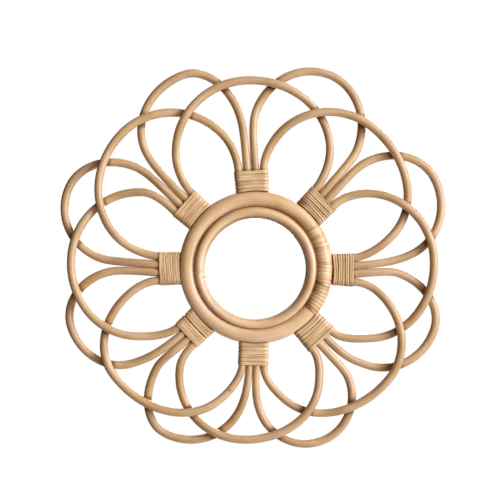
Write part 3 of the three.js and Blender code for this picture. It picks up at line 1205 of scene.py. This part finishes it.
# The hanger, in millimetres: half its length and half its height, the radius of its corners, its
# notches, how many there are on each side of the middle one and how far they go along it, where
# its ramps start and end, how deep its feet and its middle are, and how far out and how deep its
# nails are
HANGER_HALF = 22.5
HANGER_RISE = 4.5
HANGER_CORNER = 2
NOTCH_PITCH = 3
NOTCH_HALF = 1.3
NOTCH_DEPTH = 2
SIDE_NOTCHES = 4
NOTCHED_HALF = 13.4
RAMP_TOP = 14.5
RAMP_FOOT = 18.5
FOOT_DEPTH = -3.8
MIDDLE_DEPTH = -0.5
NAIL_OUT = 20.3
NAIL_DEPTH = -3.35

# The thickness of its sheet and how far its edges are eased
HANGER_SHEET = 1.0 * MM
HANGER_EASE = 0.12 * MM


def hanger_edge(along):
    """The lower edge of the hanger, with its notches."""
    if abs(along) >= NOTCHED_HALF:
        return -HANGER_RISE
    from_notch = abs((along + NOTCH_PITCH / 2) % NOTCH_PITCH - NOTCH_PITCH / 2)
    return max(0, 1 - from_notch / NOTCH_HALF) * NOTCH_DEPTH - HANGER_RISE


def hanger_stations():
    """Where the hanger is divided along its length: at its corners, notches and ramps."""
    rounded = [HANGER_HALF - HANGER_CORNER * (1 - math.sin(a)) for a in np.linspace(0, math.pi / 2, 7)]
    half = [*rounded, *np.linspace(RAMP_TOP, RAMP_FOOT, 5), 20]
    middles = [number * NOTCH_PITCH for number in range(-SIDE_NOTCHES, SIDE_NOTCHES + 1)]
    notches = [middle + edge for middle in middles for edge in (-NOTCH_HALF, 0, NOTCH_HALF)]
    return sorted({*half, *(-along for along in half), *notches})


def build_hanger():
    """A toothed steel strip, raised in the middle, nailed to the board at both ends."""
    stations = hanger_stations()
    strip, column, share = new_sheet("hanger", len(stations) - 1, 6)
    places = []
    for number, up in zip(column, share):
        along = stations[number]
        into_corner = max(0, abs(along) - (HANGER_HALF - HANGER_CORNER))
        ease = HANGER_CORNER - math.sqrt(max(0, HANGER_CORNER ** 2 - into_corner ** 2))
        low, high = hanger_edge(along) + ease, HANGER_RISE - ease
        depth = FOOT_DEPTH + (MIDDLE_DEPTH - FOOT_DEPTH) * fade(abs(along), RAMP_FOOT, RAMP_TOP)
        places.append((along, depth, low + (high - low) * up))
    move_points(strip, np.array(places) * MM)
    wall = strip.modifiers.new("Wall", "SOLIDIFY")
    wall.thickness = HANGER_SHEET
    wall.offset = 0
    bpy.ops.object.modifier_apply(modifier=wall.name)
    ease_edges(strip, HANGER_EASE, 2, 50)
    mend(0.005 * MM)
    shade(strip, zinc_steel(), 30)
    spots = [Vector((side * NAIL_OUT, NAIL_DEPTH, 0)) * MM for side in (-1, 1)]
    heads = [pin_head(spot, (0, 1, 0), HANGER_PIN) for spot in spots]
    settle(join([strip, *heads], "hanger"), "hanger_steel", "hanger")


# Stage

# The three soft lights: their places from the hub and their sizes, in metres, their power and
# their colours
LIGHTS = (
    Light("Key light", (4.8, -3.4, 1.4), 2.4, 4.9, 455, (0.88, 1.02, 1.21)),
    Light("Back light", (1.3, 4.4, 1.6), 2.6, 2.6, 190, (0.95, 1, 1.06)),
    Light("Front light", (0.3, -2.6, 1.3), 1.4, 1.8, 14.5, (1.02, 0.84, 0.58)),
)

# What lights the object from the lower left and from the upper right, what its gloss shows of the
# room and, apart from the mirror, of the white in front, and the direction of the upper right
BOUNCE = (0.018, 0.007, 0.001)
SKY = (0.165, 0.158, 0.15)
DARK_ROOM = (0.04, 0.02, 0.006)
FRONT_GLOW = 0.2
UPPER_RIGHT = (0.62, 0, 0.78)

# The width that the picture shows at the hub, in metres, its centre, and the camera's sensor
PICTURE_WIDTH = 0.625
PICTURE_CENTRE = Vector((-8.1, 0, -32.5)) * MM
SENSOR = 36

# How large and how low the floor is, in metres
FLOOR_RADIUS = 4
FLOOR_LEVEL = -2.6


def aimed(name, data, place, target):
    made = bpy.data.objects.new(name, data)
    bpy.context.scene.collection.objects.link(made)
    made.location = place
    made.rotation_euler = (Vector(target) - Vector(place)).to_track_quat("-Z", "Y").to_euler()
    return made


def soft_light(light):
    lamp = bpy.data.lights.new(light.name, "AREA")
    lamp.shape = "RECTANGLE"
    lamp.size = light.width
    lamp.size_y = light.height
    lamp.energy = light.power
    lamp.color = light.colour
    aimed(light.name, lamp, HUB + Vector(light.place), HUB)


def build_world():
    """White to the camera and in the mirror; the object is lit dimly from its upper right and gets
    a faint warm bounce from the other side."""
    world = bpy.data.worlds.new("Studio")
    bpy.context.scene.world = world
    world.use_nodes = True
    tree = world.node_tree
    path = put(tree, "ShaderNodeLightPath").outputs
    direction = put(tree, "ShaderNodeTexCoord").outputs["Generated"]
    front = ranged(tree, vector_maths(tree, "DOT_PRODUCT", direction, (0, -1, 0)), 0.1, 0.8)
    upper = vector_maths(tree, "DOT_PRODUCT", direction, UPPER_RIGHT)
    glow = ranged(tree, path["Is Singular Ray"], 0, 1, FRONT_GLOW, 1)
    reflected = maths(tree, "MAXIMUM", maths(tree, "MULTIPLY", front, glow), ranged(tree, upper, 0.0, 0.42))
    seen = mixed(tree, reflected, (*DARK_ROOM, 1), (1.02, 1.02, 1.02, 1))
    lit = mixed(tree, ranged(tree, upper, -0.1, 0.8), (*BOUNCE, 1), (*SKY, 1))
    fill = mixed(tree, path["Is Glossy Ray"], lit, seen)
    light = mixed(tree, path["Is Camera Ray"], fill, (1, 1, 1, 1))
    feed(tree, tree.nodes["Background"], Color=light)


def build_stage():
    bpy.context.scene.view_settings.view_transform = "Standard"
    lens = bpy.data.cameras.new("Camera")
    lens.sensor_width = SENSOR
    lens.lens = SENSOR * CAMERA_AWAY / PICTURE_WIDTH
    target = PICTURE_CENTRE + Vector((0, HUB.y, 0))
    bpy.context.scene.camera = aimed("Camera", lens, target - Vector((0, CAMERA_AWAY, 0)), target)
    build_world()
    for light in LIGHTS:
        soft_light(light)
    start_fresh()
    bpy.ops.mesh.primitive_circle_add(
        vertices=96, radius=FLOOR_RADIUS, fill_type="NGON", location=(0, 0, FLOOR_LEVEL))
    floor = bpy.context.object
    floor.name = floor.data.name = "floor"
    floor.data.materials.append(pale_floor())


# Operators

class MIRROR_OT_rings(bpy.types.Operator):
    """Bends the main ring and the inner ring"""
    bl_idname = "mirror.rings"
    bl_label = "Rings"

    def execute(self, context):
        build_rings()
        return {"FINISHED"}


class MIRROR_OT_large_petals(bpy.types.Operator):
    """Bends the eight large petals"""
    bl_idname = "mirror.large_petals"
    bl_label = "Large petals"

    def execute(self, context):
        build_petals(LARGE_KIND)
        return {"FINISHED"}


class MIRROR_OT_small_petals(bpy.types.Operator):
    """Bends the eight small petals"""
    bl_idname = "mirror.small_petals"
    bl_label = "Small petals"

    def execute(self, context):
        build_petals(SMALL_KIND)
        return {"FINISHED"}


class MIRROR_OT_bindings(bpy.types.Operator):
    """Winds the eight cane bindings that tie the petals at the ring"""
    bl_idname = "mirror.bindings"
    bl_label = "Bindings"

    def execute(self, context):
        for binding in BINDINGS:
            build_binding(binding)
        return {"FINISHED"}


class MIRROR_OT_joint_wrap(bpy.types.Operator):
    """Winds cane over the joint of the main ring"""
    bl_idname = "mirror.joint_wrap"
    bl_label = "Ring joint wrap"

    def execute(self, context):
        build_joint_wrap()
        return {"FINISHED"}


class MIRROR_OT_glass(bpy.types.Operator):
    """Makes the round mirror"""
    bl_idname = "mirror.glass"
    bl_label = "Mirror glass"

    def execute(self, context):
        build_glass()
        return {"FINISHED"}


class MIRROR_OT_board(bpy.types.Operator):
    """Makes the backing board"""
    bl_idname = "mirror.board"
    bl_label = "Backing board"

    def execute(self, context):
        build_board()
        return {"FINISHED"}


class MIRROR_OT_hanger(bpy.types.Operator):
    """Makes the toothed hanger and its nails"""
    bl_idname = "mirror.hanger"
    bl_label = "Hanger"

    def execute(self, context):
        build_hanger()
        return {"FINISHED"}


class MIRROR_OT_stage(bpy.types.Operator):
    """Sets up the camera, the lights, the world and the floor"""
    bl_idname = "mirror.stage"
    bl_label = "Stage"

    def execute(self, context):
        build_stage()
        return {"FINISHED"}


OPERATORS = (
    MIRROR_OT_stage,
    MIRROR_OT_rings,
    MIRROR_OT_joint_wrap,
    MIRROR_OT_large_petals,
    MIRROR_OT_small_petals,
    MIRROR_OT_bindings,
    MIRROR_OT_glass,
    MIRROR_OT_board,
    MIRROR_OT_hanger,
)


class MIRROR_PT_pieces(bpy.types.Panel):
    """Lists the pieces of the mirror"""
    bl_idname = "MIRROR_PT_pieces"
    bl_label = "Rattan flower mirror"
    bl_space_type = "VIEW_3D"
    bl_region_type = "UI"
    bl_category = "Mirror"

    def draw(self, context):
        for group in (context.scene.mirror_sizes, context.scene.mirror_colours):
            for name in group.__annotations__:
                self.layout.prop(group, name)
        for operator in OPERATORS:
            self.layout.operator(operator.bl_idname)


CLASSES = (MirrorSizes, MirrorColours, *OPERATORS, MIRROR_PT_pieces)


def register():
    for each in CLASSES:
        bpy.utils.register_class(each)
    bpy.types.Scene.mirror_sizes = bpy.props.PointerProperty(type=MirrorSizes)
    bpy.types.Scene.mirror_colours = bpy.props.PointerProperty(type=MirrorColours)


def unregister():
    del bpy.types.Scene.mirror_colours
    del bpy.types.Scene.mirror_sizes
    for each in reversed(CLASSES):
        bpy.utils.unregister_class(each)


def main():
    register()
    bpy.ops.mirror.stage()
    bpy.ops.mirror.rings()
    bpy.ops.mirror.joint_wrap()
    bpy.ops.mirror.large_petals()
    bpy.ops.mirror.small_petals()
    bpy.ops.mirror.bindings()
    bpy.ops.mirror.glass()
    bpy.ops.mirror.board()
    bpy.ops.mirror.hanger()


if __name__ == "__main__":
    main()
